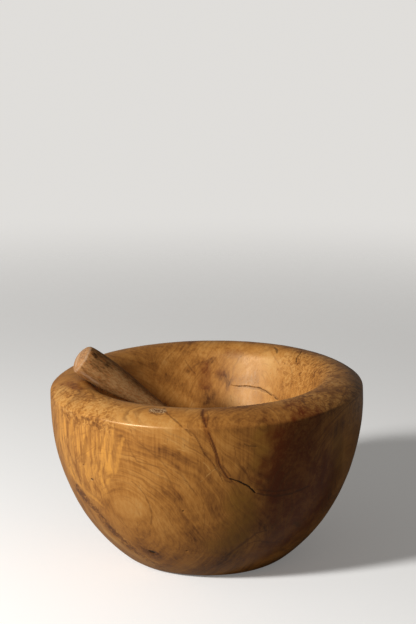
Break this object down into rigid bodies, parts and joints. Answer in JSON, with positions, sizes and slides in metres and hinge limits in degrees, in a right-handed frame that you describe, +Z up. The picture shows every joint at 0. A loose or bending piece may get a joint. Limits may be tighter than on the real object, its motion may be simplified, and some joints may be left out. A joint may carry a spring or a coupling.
{
  "type": "mortar and pestle",
  "caption": "Large turned wooden mortar with a rounded rim and a tapering bowl-shaped body, and a loose waisted wooden pestle leaning in it.",
  "frame": {"origin": "centre of the mortar's flat foot, on the surface it stands on", "axes": "+Z up along the mortar's turning axis, -Y towards the viewer, +X to the viewer's right; the pestle's handle rests on the rim at -X"},
  "size_m": [0.32, 0.32, 0.2192],
  "materials": {
    "mortar_wood": "satin oiled figured wood, honey to red-brown",
    "pestle_wood": "dry worn wood, dull grey-brown, paler at the worn butt"
  },
  "bodies": {
    "mortar": {"mortar": "mortar_wood"},
    "pestle": {"pestle": "pestle_wood"}
  },
  "joints": [
    {"name": "pestle_lift", "type": "slide", "parent": "mortar", "child": "pestle", "axis": [0, 0, 1], "range_m": [0, 0.14]}
  ]
}
